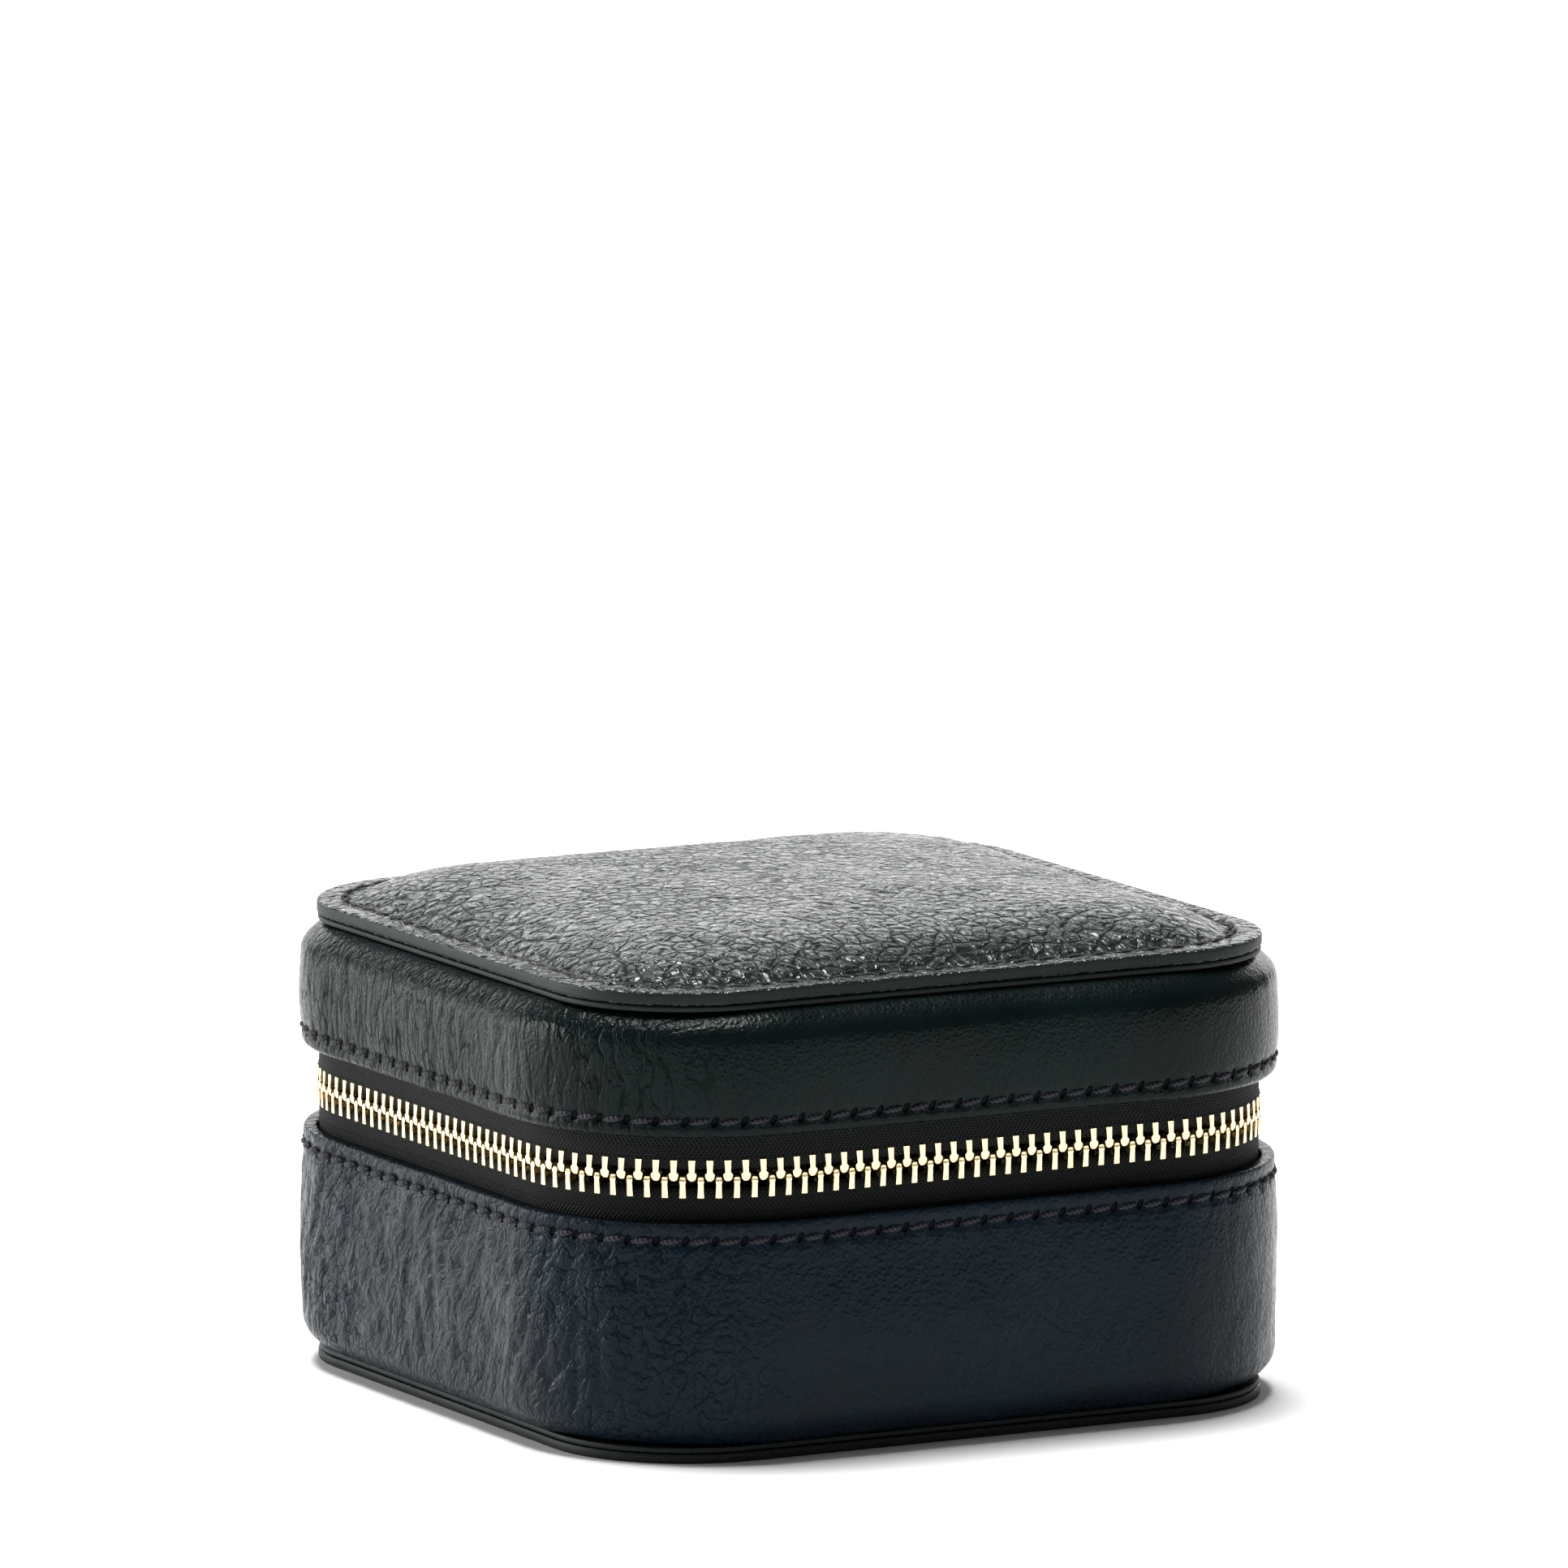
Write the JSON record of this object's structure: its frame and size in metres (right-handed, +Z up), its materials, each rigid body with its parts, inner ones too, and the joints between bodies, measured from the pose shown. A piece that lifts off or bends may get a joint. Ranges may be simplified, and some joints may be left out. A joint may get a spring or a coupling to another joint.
{
  "type": "jewellery case",
  "caption": "Square zip-round leather jewellery case with rounded corners, a padded hinged lid, ring rolls and dividers.",
  "frame": {"origin": "centre of the flat underside of the bottom panel", "axes": "+X to the right, +Y back towards the spine hinge, +Z up through the padded lid"},
  "size_m": [0.1112, 0.1135, 0.0669],
  "materials": {
    "leather_black": "satin, fine grain",
    "board": "matt greyboard",
    "lining": "matt brushed cloth",
    "thread": "waxed thread",
    "zip_metal": "satin",
    "tape": "woven twill",
    "foam": "open foam",
    "mirror": "polished"
  },
  "bodies": {
    "base": {"bottom_panel_leather": "leather_black", "bottom_panel_welt": "leather_black", "bottom_seam_thread": "thread", "base_wall_leather": "leather_black", "base_wall_board": "board", "base_wall_lining": "lining", "base_floor_board": "board", "base_floor_lining": "lining", "base_seam_thread": "thread", "lower_zip_teeth": "zip_metal", "upper_zip_end_teeth": "zip_metal", "lower_zip_tape": "tape", "upper_zip_end_tape": "tape", "zip_end_stops": "zip_metal", "spine_lower": "leather_black", "divider_left": "lining", "divider_right": "lining", "divider_cross": "lining", "divider_keeper": "lining", "ring_rolls": "lining"},
    "lid": {"lid_wall_leather": "leather_black", "lid_wall_board": "board", "lid_wall_lining": "lining", "lid_top_board": "board", "lid_top_lining": "lining", "lid_seam_thread": "thread", "lid_panel_welt": "leather_black", "lid_panel_leather": "leather_black", "lid_padding": "foam", "rim_thread": "thread", "upper_zip_teeth": "zip_metal", "upper_zip_tape": "tape", "spine_upper": "leather_black", "lid_mirror": "mirror", "lid_mirror_frame": "leather_black"},
    "zip_slider": {"slider": "zip_metal"},
    "link": {"pull_link": "zip_metal"},
    "tab": {"pull_tab": "leather_black"},
    "loose_divider": {"lift_out_divider": "lining"}
  },
  "joints": [
    {"name": "lid_hinge", "type": "hinge", "parent": "base", "child": "lid", "pos_m": [0, 0.0529, 0.0378], "axis": [-1, 0, 0], "range_deg": [0, 95]},
    {"name": "zip_travel", "type": "hinge", "parent": "base", "child": "zip_slider", "pos_m": [0.0272, 0.0272, 0.0378], "axis": [0, 0, -1], "range_deg": [0, 90]},
    {"name": "link_swing", "type": "hinge", "parent": "zip_slider", "child": "link", "pos_m": [0.0272, 0.05655, 0.0378], "axis": [1, 0, 0], "range_deg": [0, 160]},
    {"name": "tab_swing", "type": "hinge", "parent": "link", "child": "tab", "pos_m": [0.0272, 0.05655, 0.03325], "axis": [0, 1, 0], "range_deg": [-30, 30]},
    {"name": "divider_lift", "type": "slide", "parent": "base", "child": "loose_divider", "axis": [0, 0, 1], "range_m": [0, 0.022]}
  ]
}
